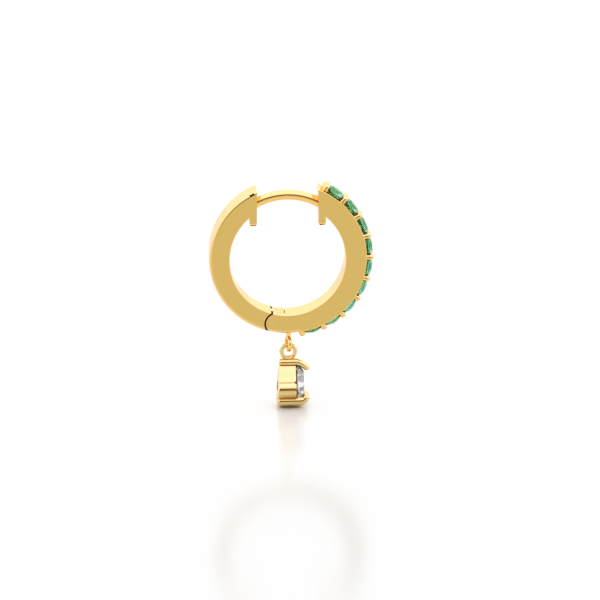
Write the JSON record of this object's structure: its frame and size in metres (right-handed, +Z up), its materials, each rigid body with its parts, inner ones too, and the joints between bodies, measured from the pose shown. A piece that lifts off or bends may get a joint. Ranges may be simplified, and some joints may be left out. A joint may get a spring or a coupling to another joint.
{
  "type": "hoop charm earring",
  "caption": "Small hinged gold hoop earring with a curved ear post, a row of round emeralds on its front half and a hanging pear diamond charm.",
  "frame": {"origin": "middle of the curved ear post's wire, where the earring hangs in the ear lobe", "axes": "+X towards the stone-set front half, +Z up, and the hoop's axis along Y"},
  "size_m": [0.0131, 0.003, 0.0184],
  "materials": {
    "gold": "polished 14 karat yellow gold",
    "emerald": "faceted green emerald",
    "diamond": "faceted colourless diamond"
  },
  "bodies": {
    "front": {"front_hoop": "gold", "hinge_pin": "gold", "emerald_1": "emerald", "emerald_2": "emerald", "emerald_3": "emerald", "emerald_4": "emerald", "emerald_5": "emerald", "emerald_6": "emerald", "emerald_7": "emerald", "emerald_8": "emerald", "emerald_9": "emerald"},
    "back": {"back_hoop": "gold"},
    "charm": {"charm_setting": "gold", "charm_diamond": "diamond"}
  },
  "joints": [
    {"name": "hoop_hinge", "type": "hinge", "parent": "front", "child": "back", "pos_m": [-0.00089, 0, -0.01042], "axis": [0, -1, 0], "range_deg": [0, 50]},
    {"name": "charm_swing", "type": "hinge", "parent": "front", "child": "charm", "pos_m": [0.00011, 0, -0.0129], "axis": [0, -1, 0], "range_deg": [-40, 40]}
  ]
}
